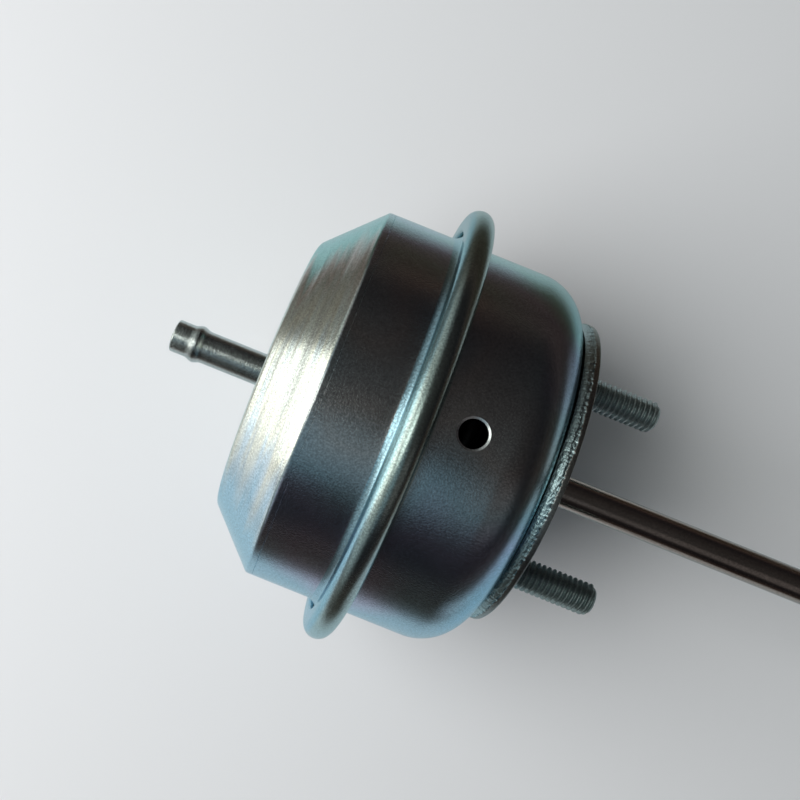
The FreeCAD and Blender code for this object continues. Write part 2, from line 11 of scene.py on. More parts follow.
import bmesh
import bpy
import numpy as np
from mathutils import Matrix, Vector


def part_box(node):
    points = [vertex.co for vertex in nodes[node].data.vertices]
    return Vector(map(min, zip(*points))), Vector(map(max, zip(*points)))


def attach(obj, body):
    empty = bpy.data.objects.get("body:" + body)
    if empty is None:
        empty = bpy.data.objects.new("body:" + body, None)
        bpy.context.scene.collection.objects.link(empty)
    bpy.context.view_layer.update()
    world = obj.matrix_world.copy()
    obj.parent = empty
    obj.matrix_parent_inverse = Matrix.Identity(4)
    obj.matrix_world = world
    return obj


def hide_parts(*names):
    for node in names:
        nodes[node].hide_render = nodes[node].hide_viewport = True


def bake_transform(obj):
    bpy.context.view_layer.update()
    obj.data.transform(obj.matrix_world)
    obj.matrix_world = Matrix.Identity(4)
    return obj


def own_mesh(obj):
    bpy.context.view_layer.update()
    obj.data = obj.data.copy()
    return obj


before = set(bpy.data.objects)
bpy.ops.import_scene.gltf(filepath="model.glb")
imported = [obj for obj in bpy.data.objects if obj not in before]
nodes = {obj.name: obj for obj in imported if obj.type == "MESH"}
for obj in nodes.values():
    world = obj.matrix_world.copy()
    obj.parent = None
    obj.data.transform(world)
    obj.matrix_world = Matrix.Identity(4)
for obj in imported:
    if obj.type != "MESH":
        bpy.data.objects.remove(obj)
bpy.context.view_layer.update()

# %% [markdown]
# ## Sizes
# Every place is read from the CAD nodes, so that a piece sits where its node is. Millimetres are easier to
# read for a part of this size, so the profiles below are in millimetres and become metres in the mesh.

# %% Places and sizes, in millimetres
MM = 0.001


def span(node):
    """Lowest and highest corner of a CAD node, in millimetres."""
    low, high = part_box(node)
    return np.array(low) / MM, np.array(high) / MM


can_low, can_high = span("spring_can")
cap_low, cap_high = span("pressure_cap")
plate_low, plate_high = span("mounting_plate")
rod_low, rod_high = span("actuator_rod")
port_low, port_high = span("hose_port")

AXIS_Y = (can_low[1] + can_high[1]) / 2
SHELL_RADIUS = 34.5
ROLL_RADIUS = (can_high[2] - can_low[2]) / 2
CAN_END = can_high[0]
ROLL_HALF_WIDTH = 2.3
LIP_FACE = can_low[0]
CAN_SHEET = 1.1
CAP_SHEET = 1.0
CAN_CORNER = 9.0
CAP_END = cap_low[0]
print("axis", round(AXIS_Y, 3), "roll radius", round(ROLL_RADIUS, 2), "can", LIP_FACE, CAN_END)

# %% [markdown]
# ## Surfaces from arrays
# A turned or pressed piece is a profile carried once round an axis, so one grid of points gives its whole
# surface. numpy works out every point of the grid at once, and neighbours in the grid share a face.
# Modelling by hand or with a Screw modifier would give the same shape, but a formula keeps each radius
# exact.

# %% Profiles
ROUND_STEPS = 288


def arc(centre, radius, start, end, steps):
    """Points centre + radius * (cos t, sin t), for t from start to end in degrees, as (x, r) pairs."""
    t = np.radians(np.linspace(start, end, steps + 1))
    return np.stack([centre[0] + radius * np.cos(t), centre[1] + radius * np.sin(t)], axis=1)


def run(start, end, steps=1):
    """Evenly spaced points on the straight line from start to end, as (x, r) pairs."""
    return np.linspace(start, end, steps + 1)


def profile(*stretches):
    """Joins stretches of (x, r) points into one profile and drops a point that repeats the one before it."""
    points = np.concatenate([np.asarray(s, float).reshape(-1, 2) for s in stretches])
    moved = np.linalg.norm(np.diff(points, axis=0), axis=1) > 1e-6
    return points[np.concatenate([[True], moved])]


def spun(points, angles, axis_y=AXIS_Y, axis_z=0.0):
    """Carries a profile round the X axis: P(i, a) = (x_i, axis_y + r_i sin a, axis_z + r_i cos a)."""
    x, r = points[:, 0][:, None], points[:, 1][:, None]
    return np.stack([x + 0 * angles, axis_y + r * np.sin(angles), axis_z + r * np.cos(angles)], axis=-1)


def full_turn(steps=ROUND_STEPS, start=0.0):
    """Angles of one full turn, the last one left out because the grid closes on itself."""
    return start + np.arange(steps) * (2 * np.pi / steps)


# %% Grids to meshes
WELD = 1e-7


def quads_of(rows, columns, wrap_rows, wrap_columns):
    """Corner numbers of the faces of a grid, each turned so that row x column points outwards."""
    row_numbers = np.arange(rows - (not wrap_rows))
    column_numbers = np.arange(columns - (not wrap_columns))
    i, j = np.meshgrid(row_numbers, column_numbers, indexing="ij")
    i_next, j_next = (i + 1) % rows, (j + 1) % columns
    corners = [i * columns + j, i_next * columns + j, i_next * columns + j_next, i * columns + j_next]
    return np.stack(corners, axis=-1)


def grid(points, wrap_rows=False, wrap_columns=True, keep=None, finish=0):
    """A grid of points in millimetres with its faces; keep masks faces, finish is their material number."""
    rows, columns = points.shape[:2]
    quads = quads_of(rows, columns, wrap_rows, wrap_columns)
    if keep is not None:
        quads = quads[keep]
    return points.reshape(-1, 3), quads.reshape(-1, 4), finish


def piece(name, *grids, sharp=35.0):
    """Welds several grids into one object, smooth except at edges sharper than the angle in degrees."""
    counts = np.cumsum([0] + [len(g[0]) for g in grids])
    corners = np.concatenate([g[0] for g in grids]) * MM
    faces = np.concatenate([g[1] + offset for g, offset in zip(grids, counts)])
    finishes = np.concatenate([np.full(len(g[1]), g[2]) for g in grids])
    mesh = bpy.data.meshes.new(name)
    mesh.from_pydata(corners.tolist(), [], faces.tolist())
    mesh.polygons.foreach_set("material_index", finishes.astype(np.int32))
    work = bmesh.new()
    work.from_mesh(mesh)
    bmesh.ops.remove_doubles(work, verts=work.verts, dist=WELD)
    work.to_mesh(mesh)
    work.free()
    mesh.shade_smooth()
    mesh.set_sharp_from_angle(angle=math.radians(sharp))
    made = bpy.data.objects.new(name, mesh)
    bpy.context.scene.collection.objects.link(made)
    print(f"{name}: {len(mesh.vertices)} vertices, {len(mesh.polygons)} faces")
    return made


def waves(angles, size, counts, seed):
    """A gentle unevenness round a piece: the sum of cosines of whole-number counts with seeded phases."""
    phases = np.random.default_rng(seed).uniform(0, 2 * np.pi, len(counts))
    return size * sum(np.cos(n * angles + p) for n, p in zip(counts, phases)) / len(counts)


# %% [markdown]
# ## Camera
# The photograph looks straight down on the actuator as it lies on its crimp, from about 17 cm above the
# rod, and the rod points 22 degrees below the horizontal. The lens is set from the curvature of the rims: at
# this distance the near rims bulge by the amount that only a lens of about 42 mm gives. The picture is cut
# off centre, so the camera gets a small shift and no tilt, which keeps the rims' curvature right.

# %% Camera
FOCAL_PIXELS = 937.0
PICTURE_SIDE = 800.0
SENSOR = 36.0
ROD_TURN = 21.95
CAMERA_PLACE = (-38.9, -1.75, 170.4)
CENTRE_IN_PICTURE = (325.7, 399.6)

camera_data = bpy.data.cameras.new("photo_camera")
camera_data.sensor_width = SENSOR
camera_data.lens = FOCAL_PIXELS / PICTURE_SIDE * SENSOR
camera_data.shift_x = (PICTURE_SIDE / 2 - CENTRE_IN_PICTURE[0]) / PICTURE_SIDE
camera_data.shift_y = (CENTRE_IN_PICTURE[1] - PICTURE_SIDE / 2) / PICTURE_SIDE
camera_data.clip_start = 0.01
camera = bpy.data.objects.new("photo_camera", camera_data)
camera.location = [c * MM for c in CAMERA_PLACE]
camera.rotation_euler = (0, 0, math.radians(ROD_TURN))
bpy.context.scene.collection.objects.link(camera)
bpy.context.scene.camera = camera
print("lens", round(camera_data.lens, 2), "shift", round(camera_data.shift_x, 4))

# %% [markdown]
# ## Shader nodes
# A finish is a small network of nodes. This helper adds a node, sets its values and links whatever is given
# as another node's output, so that a finish reads from top to bottom.

# %% Node helper


def add(tree, kind, inputs=None, **settings):
    """Adds a shader node; inputs maps socket names to values or to outputs of other nodes."""
    made = tree.nodes.new("ShaderNode" + kind)
    for key, value in settings.items():
        setattr(made, key, value)
    for key, value in (inputs or {}).items():
        if isinstance(value, bpy.types.NodeSocket):
            tree.links.new(value, made.inputs[key])
        else:
            made.inputs[key].default_value = value
    return made


def ramp(tree, value, stops):
    """A colour ramp; stops are (position, colour) pairs, a single number being a grey."""
    made = add(tree, "ValToRGB", {"Fac": value})
    elements = made.color_ramp.elements
    while len(elements) < len(stops):
        elements.new(0.5)
    for element, (position, colour) in zip(elements, stops):
        element.position = position
        element.color = (*colour, 1) if isinstance(colour, tuple) else (colour, colour, colour, 1)
    return made.outputs["Color"]


def new_material(name):
    """An empty node material and its Principled shader."""
    material = bpy.data.materials.new(name)
    material.use_nodes = True
    tree = material.node_tree
    return material, tree, tree.nodes["Principled BSDF"]


# %% [markdown]
# ## Floor, room and lamps
# The actuator lies on pale sheets on a dark, varnished bench, in a dim room with one window beyond the hose
# port. Polished zinc shows hardly more than its surroundings, so these decide the look: the sheets give the
# pale edges of the drum, the room its dark middle and the window the burst of light on the cone. The camera
# sees the floor pale everywhere; only reflections and bounced light see the sheets end. A metal has no matt
# part, so one lamp lights the floor and stays out of the reflections, and the window is only there for what
# the metal shows.

# %% Floor
FLOOR_Z = can_low[2]
FLOOR_HALF = 2500.0
SHEETS = [
    ((-0.026, -0.022, 0.0), (0.150, 0.120, 1.0)),
    ((-0.300, -0.130, 0.0), (0.200, 0.070, 1.0)),
    ((0.175, -0.12, 0.0), (0.105, 0.245, 1.0)),
]
SHEET_FADE = 0.2
FAR_AWAY = 10.0
SHEET_COLOUR = (0.80, 0.80, 0.815, 1)
BENCH_COLOUR = (0.10, 0.075, 0.055, 1)
DISTANCE_FADE = (0.18, 0.36)
BACKGROUND = (0.66, 0.66, 0.68, 1)

floor_mesh = bpy.data.meshes.new("floor")
floor_signs = ((-1, -1), (1, -1), (1, 1), (-1, 1))
floor_corners = [(x * FLOOR_HALF * MM, y * FLOOR_HALF * MM, FLOOR_Z * MM) for x, y in floor_signs]
floor_mesh.from_pydata(floor_corners, [], [(0, 1, 2, 3)])
floor = bpy.data.objects.new("floor", floor_mesh)
bpy.context.scene.collection.objects.link(floor)


def floor_finish():
    """Pale matt sheets, ellipses with a soft edge; past them, reflections find the dark varnished bench.

    Far from the actuator the camera sees the plain tone of the background, so the floor has no visible end.
    """
    material, tree, sheet = new_material("pale_floor")
    sheet.inputs["Base Color"].default_value = SHEET_COLOUR
    sheet.inputs["Roughness"].default_value = 0.9
    sheet.inputs["Specular IOR Level"].default_value = 0.1
    bench = add(tree, "BsdfPrincipled", {"Base Color": BENCH_COLOUR, "Roughness": 0.28})
    place = add(tree, "TexCoord").outputs["Object"]
    nearest = FAR_AWAY
    for middle, half in SHEETS:
        centred = add(tree, "VectorMath", {0: place, 1: middle}, operation="SUBTRACT").outputs[0]
        shares = add(tree, "VectorMath", {0: centred, 1: half}, operation="DIVIDE").outputs[0]
        away = add(tree, "VectorMath", {0: shares}, operation="LENGTH").outputs["Value"]
        nearest = add(tree, "Math", {0: away, 1: nearest}, operation="MINIMUM").outputs[0]
    past = add(tree, "MapRange", {"Value": nearest, "From Min": 1 - SHEET_FADE, "From Max": 1 + SHEET_FADE})
    unseen = add(tree, "LightPath").outputs["Is Camera Ray"]
    shown = add(tree, "Math", {0: past.outputs[0], 1: unseen}, operation="SUBTRACT", use_clamp=True)
    both = add(tree, "MixShader", {0: shown.outputs[0], 1: sheet.outputs[0], 2: bench.outputs[0]})
    far = add(tree, "VectorMath", {0: place}, operation="LENGTH").outputs["Value"]
    start, end = DISTANCE_FADE
    faded = add(tree, "MapRange", {"Value": far, "From Min": start, "From Max": end},
                interpolation_type="SMOOTHSTEP").outputs[0]
    hidden = add(tree, "Math", {0: faded, 1: unseen}, operation="MULTIPLY").outputs[0]
    plain = add(tree, "Emission", {"Color": BACKGROUND}).outputs[0]
    floor_shown = add(tree, "MixShader", {0: hidden, 1: both.outputs[0], 2: plain})
    tree.links.new(floor_shown.outputs[0], tree.nodes["Material Output"].inputs["Surface"])
    return material


floor_mesh.materials.append(floor_finish())
print("floor at", round(FLOOR_Z, 2), "mm")

# %% Room and lamps
ROOM = [(0.0, (0.070, 0.052, 0.042)), (0.12, (0.036, 0.028, 0.026)), (0.35, (0.014, 0.013, 0.015)),
        (0.8, (0.030, 0.028, 0.028)), (1.0, 0.050)]
LIT = [
    ("window's wall", (-0.98, -0.10, 0.17), (0.42, 0.46, 0.45, 1), (0.15, 0.80), (1, 1, 1)),
    ("ceiling over it", (-0.46, -0.06, 0.885), (2.5, 2.65, 2.55, 1), (0.95, 0.998), (1, 1, 1)),
    ("shelf over the rod", (0.38, -0.45, 0.81), (0.12, 0.115, 0.115, 1), (0.92, 0.985), (0.5, 1, 1)),
    ("side light", (-0.12, -0.45, 0.885), (0.21, 0.29, 0.335, 1), (0.90, 1.0), (1.1, 1, 1)),
]


def make_room():
    """World light: a dim brown room, lit in soft patches.

    Each patch has a way, a colour, the cosines at which it starts and is full, and a stretch of the axes.
    """
    world = bpy.data.worlds.new("studio")
    world.use_nodes = True
    bpy.context.scene.world = world
    tree = world.node_tree
    sky = tree.nodes["Background"]
    way = add(tree, "TexCoord").outputs["Generated"]
    height = add(tree, "SeparateXYZ", {"Vector": way}).outputs["Z"]
    colour = ramp(tree, height, ROOM)
    for label, lit_way, lit_colour, (far, near), stretch in LIT:
        squeezed = add(tree, "VectorMath", {0: way, 1: stretch}, operation="MULTIPLY").outputs[0]
        squeezed = add(tree, "VectorMath", {0: squeezed}, operation="NORMALIZE").outputs[0]
        towards = add(tree, "VectorMath", {0: squeezed, 1: lit_way}, operation="DOT_PRODUCT").outputs["Value"]
        share = add(tree, "MapRange", {"Value": towards, "From Min": far, "From Max": near},
                    interpolation_type="SMOOTHSTEP").outputs[0]
        mixed = add(tree, "Mix", {"Factor": share, "A": colour, "B": lit_colour}, data_type="RGBA")
        mixed.label = label
        colour = mixed.outputs["Result"]
    seen = add(tree, "LightPath").outputs["Is Camera Ray"]
    shown = add(tree, "Mix", {"Factor": seen, "A": colour, "B": BACKGROUND}, data_type="RGBA")
    tree.links.new(shown.outputs["Result"], sky.inputs["Color"])


def soft_lamp(name, azimuth, elevation, distance, size, brightness, colour=(1, 1, 1)):
    """A rectangular lamp that faces the can; azimuth is from +X towards +Y, brightness its radiance."""
    lamp = bpy.data.lights.new(name, "AREA")
    lamp.shape = "RECTANGLE"
    lamp.size, lamp.size_y = (s * MM for s in size)
    lamp.energy = brightness * math.pi * lamp.size * lamp.size_y
    lamp.color = colour
    a, e = math.radians(azimuth), math.radians(elevation)
    way = np.array([math.cos(a) * math.cos(e), math.sin(a) * math.cos(e), math.sin(e)])
    target = np.array([CAN_END, AXIS_Y, 0.0])
    made = bpy.data.objects.new(name, lamp)
    made.location = (target + way * distance) * MM
    made.rotation_euler = (math.pi / 2 - e, 0, a + math.pi / 2)
    bpy.context.scene.collection.objects.link(made)
    return made


make_room()
key = soft_lamp("key", 193, 37, 520, (485, 624), 3.6)
key.visible_glossy = False
window = soft_lamp("window", 187, 18, 600, (440, 520), 1.8, (1.0, 1.0, 0.96))
window.visible_diffuse = False

# %% [markdown]
# ## Blue-white zinc
# The shells are zinc plated and passivated. The film is thin enough to tint reflections cyan, green and
# lavender, and the plating has a fine grain that softens them. The film drained to one side while it dried,
# so the tint runs from blue on the low side to green on the high one, with slow patches over it. A metallic
# shader with that tint and a bump of fine noise gives both. Turned or spun marks run round the axis, so
# their noise is squeezed along X and stretched round the axis by reading the direction from the axis instead
# of the place. On the roll's flank and the can's large corner the film is bluer, so there a second colour
# comes in along X.

# %% Zinc finish
TINTS = [
    (0.02, (0.46, 0.66, 0.80)),
    (0.18, (0.60, 0.62, 0.80)),
    (0.36, (0.50, 0.64, 0.70)),
    (0.54, (0.67, 0.64, 0.62)),
    (0.72, (0.58, 0.66, 0.68)),
    (0.84, (0.62, 0.60, 0.76)),
    (0.98, (0.46, 0.68, 0.64)),
]
# The middle of this ramp is paler and whiter than its ends: a painted highlight laid over the cone's film
# tint.
CONE_FILM_AND_HIGHLIGHT = [
    (0.02, (0.50, 0.72, 0.86)),
    (0.22, (0.64, 0.76, 0.82)),
    (0.40, (0.82, 0.84, 0.74)),
    (0.58, (0.74, 0.80, 0.76)),
    (0.74, (0.76, 0.70, 0.66)),
    (0.98, (0.44, 0.72, 0.69)),
]
TINT_PATCHES = 0.66
PATCH_SCALE = 30.0
STREAK_MARKS = (0.8, 1.2)
GRAIN_SCALE = 3300.0
WEAR_SCALE = 60.0
EDGE_TINT = (0.70, 0.86, 0.90, 1)
GRAIN_SHADE = 0.40


def round_the_axis(tree, along, around):
    """A place for noise that follows the turning: x times along plus the axis direction times around."""
    place = add(tree, "TexCoord").outputs["Object"]
    centred = add(tree, "VectorMath", {0: place, 1: (0, AXIS_Y * MM, 0)}, operation="SUBTRACT").outputs[0]
    across = add(tree, "VectorMath", {0: centred, 1: (0, 1, 1)}, operation="MULTIPLY").outputs[0]
    direction = add(tree, "VectorMath", {0: across}, operation="NORMALIZE").outputs[0]
    turned = add(tree, "VectorMath", {0: direction, 1: (around,) * 3}, operation="MULTIPLY").outputs[0]
    length = add(tree, "VectorMath", {0: centred, 1: (along, 0, 0)}, operation="MULTIPLY").outputs[0]
    return add(tree, "VectorMath", {0: turned, 1: length}, operation="ADD").outputs[0]


def film_share(tree, streaks):
    """Place in the tint ramp: how far the surface faces +Y, shifted by slow noise and by streaks."""
    place = add(tree, "TexCoord").outputs["Object"]
    side = add(tree, "SeparateXYZ", {"Vector": round_the_axis(tree, 0.0, 0.5)}).outputs["Y"]
    patches = add(tree, "TexNoise", {"Vector": place, "Scale": PATCH_SCALE, "Detail": 2.0, "Roughness": 0.45})
    shift = add(tree, "MapRange", {"Value": patches.outputs["Fac"], "From Min": 0.25, "From Max": 0.75,
                                   "To Min": 0.5 - TINT_PATCHES / 2, "To Max": 0.5 + TINT_PATCHES / 2})
    share = add(tree, "Math", {0: side, 1: shift.outputs[0]}, operation="ADD").outputs[0]
    if streaks:
        turned = round_the_axis(tree, STREAK_MARKS[0] / MM, STREAK_MARKS[1])
        lines = add(tree, "TexNoise", {"Vector": turned, "Scale": 1.0, "Detail": 2.0})
        shift = add(tree, "MapRange", {"Value": lines.outputs["Fac"], "From Min": 0.3, "From Max": 0.7,
                                       "To Min": -streaks, "To Max": streaks})
        share = add(tree, "Math", {0: share, 1: shift.outputs[0]}, operation="ADD").outputs[0]
    return share


def zinc_finish(name, roughness, grain, layers=(), tints=TINTS, streaks=0.0):
    """Tinted metal with fine grain; layers of marks are (depth, marks per mm along X, marks per radian)."""
    material, tree, shader = new_material(name)
    place = add(tree, "TexCoord").outputs["Object"]
    shader.inputs["Metallic"].default_value = 1.0
    shader.inputs["Specular Tint"].default_value = EDGE_TINT
    fine = add(tree, "TexNoise", {"Vector": place, "Scale": GRAIN_SCALE, "Detail": 2.0, "Roughness": 0.6})
    speck = ramp(tree, fine.outputs["Fac"], [(0.32, 1 - GRAIN_SHADE), (0.68, 1.0)])
    tinted = add(tree, "Mix", {"Factor": 1.0, "A": ramp(tree, film_share(tree, streaks), tints), "B": speck},
                 data_type="RGBA", blend_type="MULTIPLY")
    tree.links.new(tinted.outputs["Result"], shader.inputs["Base Color"])
    wear = add(tree, "TexNoise", {"Vector": place, "Scale": WEAR_SCALE, "Detail": 3.0, "Roughness": 0.5})
    spread = add(tree, "MapRange", {"Value": wear.outputs["Fac"], "From Min": 0.3, "From Max": 0.7,
                                    "To Min": roughness * 0.88, "To Max": roughness * 1.14})
    tree.links.new(spread.outputs[0], shader.inputs["Roughness"])
    normal = add(tree, "Bump", {"Height": fine.outputs["Fac"], "Distance": grain * MM}).outputs["Normal"]
    for depth, along, around in layers:
        turned = round_the_axis(tree, along / MM, around)
        lines = add(tree, "TexNoise", {"Vector": turned, "Scale": 1.0, "Detail": 2.0, "Roughness": 0.5})
        bump = add(tree, "Bump", {"Height": lines.outputs["Fac"], "Distance": depth * MM, "Normal": normal})
        normal = bump.outputs["Normal"]
    tree.links.new(normal, shader.inputs["Normal"])
    return material


shell_zinc = zinc_finish("zinc_pressed", roughness=0.22, grain=0.026)
# The turned cone's tint carries a painted highlight in the middle of its ramp; its marks are bumps.
cone_zinc_and_highlight = zinc_finish("zinc_turned", roughness=0.21, grain=0.012, tints=CONE_FILM_AND_HIGHLIGHT, streaks=0.16, layers=(
    (0.24, 0.34, 1.1), (0.030, 1.4, 2.2), (0.006, 6.0, 6.0)))
# On the roll the tint darkens towards the side facing +Y: painted shade over the film's own colour.
roll_zinc_and_side_shade = zinc_finish("zinc_rolled_and_painted_shade", roughness=0.23, grain=0.018, layers=((0.01, 3.0, 2.0),), tints=[
    (0.1, (0.50, 0.66, 0.70)), (0.5, (0.54, 0.64, 0.60)), (0.9, (0.38, 0.48, 0.44))])
FLANK_BLUE = (0.72, 0.95, 1.12, 1)
FLANK_FADE = (1.15, 0.45)


def shade_along(material, colour, start, end):
    """Multiplies a finish by a colour that comes in along X, from start to end in millimetres."""
    tree = material.node_tree
    base = tree.nodes["Principled BSDF"].inputs["Base Color"]
    plain = base.links[0].from_socket
    place = add(tree, "TexCoord").outputs["Object"]
    along = add(tree, "SeparateXYZ", {"Vector": place}).outputs["X"]
    share = add(tree, "MapRange", {"Value": along, "From Min": start * MM, "From Max": end * MM},
                interpolation_type="SMOOTHSTEP").outputs[0]
    shaded = add(tree, "Mix", {"Factor": share, "A": plain, "B": colour},
                 data_type="RGBA", blend_type="MULTIPLY")
    tree.links.new(shaded.outputs["Result"], base)


shade_along(roll_zinc_and_side_shade, FLANK_BLUE, *(LIP_FACE + x for x in FLANK_FADE))
print("zinc finishes:", shell_zinc.name, cone_zinc_and_highlight.name, roll_zinc_and_side_shade.name)

# %% [markdown]
# ## Pressure cap
# A deep-drawn cup with a flat end and a 45 degree cone. The cone was turned after drawing, which leaves a
# crisp edge, coarse marks round it and a fine groove on the drum just past the edge. It is one closed
# profile, out along the outside and back along the inside, carried round the axis. The film is bluest on
# the flare at its flange.

# %% Pressure cap
FACE_RADIUS = 25.1
FACE_CORNER = 1.8
EDGE_ROUND = 0.9
GROOVE_FROM_EDGE = 1.15
GROOVE_DEPTH = 0.05
CAP_FLARE = 2.2
FLANGE_GAP = 0.02
FLARE_RISE = 0.01
PORT_RADIUS = 3.0
CONE_LENGTH = SHELL_RADIUS - FACE_RADIUS
EIGHTH = math.tan(math.radians(22.5))


def cap_outside():
    """Outer profile from the port's hole to the flange, with the cone cut at 45 degrees."""
    corner = FACE_CORNER * EIGHTH
    edge = EDGE_ROUND * EIGHTH
    half = math.sqrt(0.5)
    cone_end = CAP_END + CONE_LENGTH
    groove = cone_end + GROOVE_FROM_EDGE
    flange = cap_high[0] - CAP_SHEET
    start = (CAP_END + corner * half, FACE_RADIUS + corner * half)
    end = (cone_end - edge * half, SHELL_RADIUS - edge * half)
    return profile(
        run((CAP_END, PORT_RADIUS), (CAP_END, FACE_RADIUS - corner), 14),
        arc((CAP_END + FACE_CORNER, FACE_RADIUS - corner), FACE_CORNER, 180, 135, 8),
        run(start, end, 24),
        arc((cone_end + edge, SHELL_RADIUS - EDGE_ROUND), EDGE_ROUND, 135, 90, 8),
        run((cone_end + edge, SHELL_RADIUS), (groove - GROOVE_DEPTH, SHELL_RADIUS), 3),
        [(groove, SHELL_RADIUS - GROOVE_DEPTH), (groove + GROOVE_DEPTH, SHELL_RADIUS)],
        run((groove + 2 * GROOVE_DEPTH, SHELL_RADIUS), (flange - CAP_FLARE, SHELL_RADIUS), 12),
        arc((flange - CAP_FLARE, SHELL_RADIUS + CAP_FLARE), CAP_FLARE, -90, 0, 12),
        [(flange, ROLL_RADIUS - ROLL_HALF_WIDTH - FLANGE_GAP)],
    )


def cap_inside():
    """Inner profile, one sheet thickness in, back from the flange to the port's hole."""
    flare = CAP_FLARE + CAP_SHEET
    inner = SHELL_RADIUS - CAP_SHEET
    flange = cap_high[0] - CAP_SHEET
    cut = CAP_SHEET * EIGHTH
    return profile(
        [(cap_high[0], ROLL_RADIUS - ROLL_HALF_WIDTH - FLANGE_GAP)],
        arc((flange - CAP_FLARE, SHELL_RADIUS + CAP_FLARE), flare, 0, -90, 12),
        [(CAP_END + CONE_LENGTH + cut, inner), (CAP_END + CAP_SHEET, FACE_RADIUS - cut)],
        [(CAP_END + CAP_SHEET, PORT_RADIUS)],
    )


cap_points = np.concatenate([cap_outside(), cap_inside()])
pressure_cap = piece("cap_shell", grid(spun(cap_points, full_turn()), wrap_rows=True))
flare_zinc = zinc_finish("zinc_flared_root", roughness=0.24, grain=0.026, tints=[
    (0.2, (0.44, 0.66, 0.80)), (0.8, (0.46, 0.68, 0.74))])
for slot_material in (shell_zinc, cone_zinc_and_highlight, flare_zinc):
    pressure_cap.data.materials.append(slot_material)


def set_finish(made, number, chosen):
    """Gives a material number to the faces whose centre passes the test chosen(x, r), in millimetres."""
    mesh = made.data
    centres = np.zeros(len(mesh.polygons) * 3)
    mesh.polygons.foreach_get("center", centres)
    x, y, z = centres.reshape(-1, 3).T / MM
    numbers = np.zeros(len(mesh.polygons), np.int32)
    mesh.polygons.foreach_get("material_index", numbers)
    numbers[chosen(x, np.hypot(y - AXIS_Y, z))] = number
    mesh.polygons.foreach_set("material_index", numbers)


set_finish(pressure_cap, 1, lambda x, r: x < CAP_END + CONE_LENGTH)
set_finish(pressure_cap, 2, lambda x, r: r > SHELL_RADIUS + FLARE_RISE)
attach(pressure_cap, "housing")
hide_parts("pressure_cap")

# %% [markdown]
# ## Spring can with its rolled crimp
# The can's rim is rolled outwards and back over the cap's flange, so the crimp is a hollow tube round the
# drum whose lip lies on the flange and leaves a thin dark crack. The far end has a large drawn corner. One
# round vent hole is pierced in the drum, with a small bevel that catches the light: a square window is left
# out of the grid there, and a ring of faces between the square and the circle fills it. A Boolean would
# leave long thin faces that spoil the reflection round the hole.

# %% Spring can
ROOT_FILLET = 0.7
LIP_RADIUS = 36.05
LIP_NOSE = CAN_SHEET / 2
BUSH_HOLE = 7.02
ROLL_X = LIP_FACE + ROLL_HALF_WIDTH
ROLL_CENTRE = ROLL_RADIUS - ROLL_HALF_WIDTH
FOOT_X = ROLL_X + ROLL_HALF_WIDTH + ROOT_FILLET
CORNER_X = CAN_END - CAN_CORNER
CORNER_BLUE = (0.75, 1.0, 1.1, 1)
CORNER_FADE = (2.0, 7.0)
VENT_FROM_END = 14.6
VENT_X = CAN_END - VENT_FROM_END
VENT_RADIUS = 2.25
VENT_TURN = math.radians(4.6)
VENT_EDGE = 0.32
VENT_EDGE_DEPTH = 0.13
WINDOW_HALF = 4.2
WINDOW_STEPS = 7
WINDOW_COLUMNS = 12
INNER_RINGS = 5
EDGE_RINGS = 3


def drum_run(radius):
    """Straight part of the drum, from the roll's foot to the corner, with lines at the vent's window."""
    return profile(
        run((FOOT_X, radius), (VENT_X - WINDOW_HALF, radius), 1),
        run((VENT_X - WINDOW_HALF, radius), (VENT_X + WINDOW_HALF, radius), WINDOW_COLUMNS),
        run((VENT_X + WINDOW_HALF, radius), (CORNER_X, radius), 2),
    )


def can_profile():
    """Closed profile: lip's nose, outside of the roll, drum, corner and end, then back along the inside."""
    inner = SHELL_RADIUS - CAN_SHEET
    small = ROLL_HALF_WIDTH - CAN_SHEET
    flank = ROLL_X + ROLL_HALF_WIDTH
    corner_centre = (CORNER_X, SHELL_RADIUS - CAN_CORNER)
    return profile(
        arc((LIP_FACE + LIP_NOSE, LIP_RADIUS + LIP_NOSE), LIP_NOSE, 270, 180, 8),
        arc((ROLL_X, ROLL_CENTRE), ROLL_HALF_WIDTH, 180, 0, 48),
        arc((FOOT_X, SHELL_RADIUS + ROOT_FILLET), ROOT_FILLET, 180, 270, 8),
        drum_run(SHELL_RADIUS),
        arc(corner_centre, CAN_CORNER, 90, 0, 32),
        run((CAN_END, SHELL_RADIUS - CAN_CORNER), (CAN_END, BUSH_HOLE), 8),
        run((CAN_END - CAN_SHEET, BUSH_HOLE), (CAN_END - CAN_SHEET, SHELL_RADIUS - CAN_CORNER), 8),
        arc(corner_centre, CAN_CORNER - CAN_SHEET, 0, 90, 16),
        drum_run(inner)[::-1],
        arc((FOOT_X, SHELL_RADIUS + ROOT_FILLET), ROOT_FILLET + CAN_SHEET, 270, 180, 8),
        arc((ROLL_X, ROLL_CENTRE), small, 0, 180, 24),
        arc((LIP_FACE + LIP_NOSE, LIP_RADIUS + LIP_NOSE), LIP_NOSE, 0, -90, 8),
    )


can_points = can_profile()[:-1]
can_grid = spun(can_points, full_turn(start=VENT_TURN))


def outside_window():
    """Mask of the can's faces: false inside the square window of the vent, on both skins of the drum."""
    following = np.roll(can_points, -1, axis=0)
    middle = (can_points + following) / 2
    straight = np.abs(can_points[:, 1] - following[:, 1]) < 1e-6
    along_vent = np.abs(middle[:, 0] - VENT_X) < WINDOW_HALF
    within = straight & along_vent & (middle[:, 1] > BUSH_HOLE + CAN_CORNER)
    column = np.arange(ROUND_STEPS)
    near = (column < WINDOW_STEPS) | (column >= ROUND_STEPS - WINDOW_STEPS)
    return ~(within[:, None] & near[None, :])


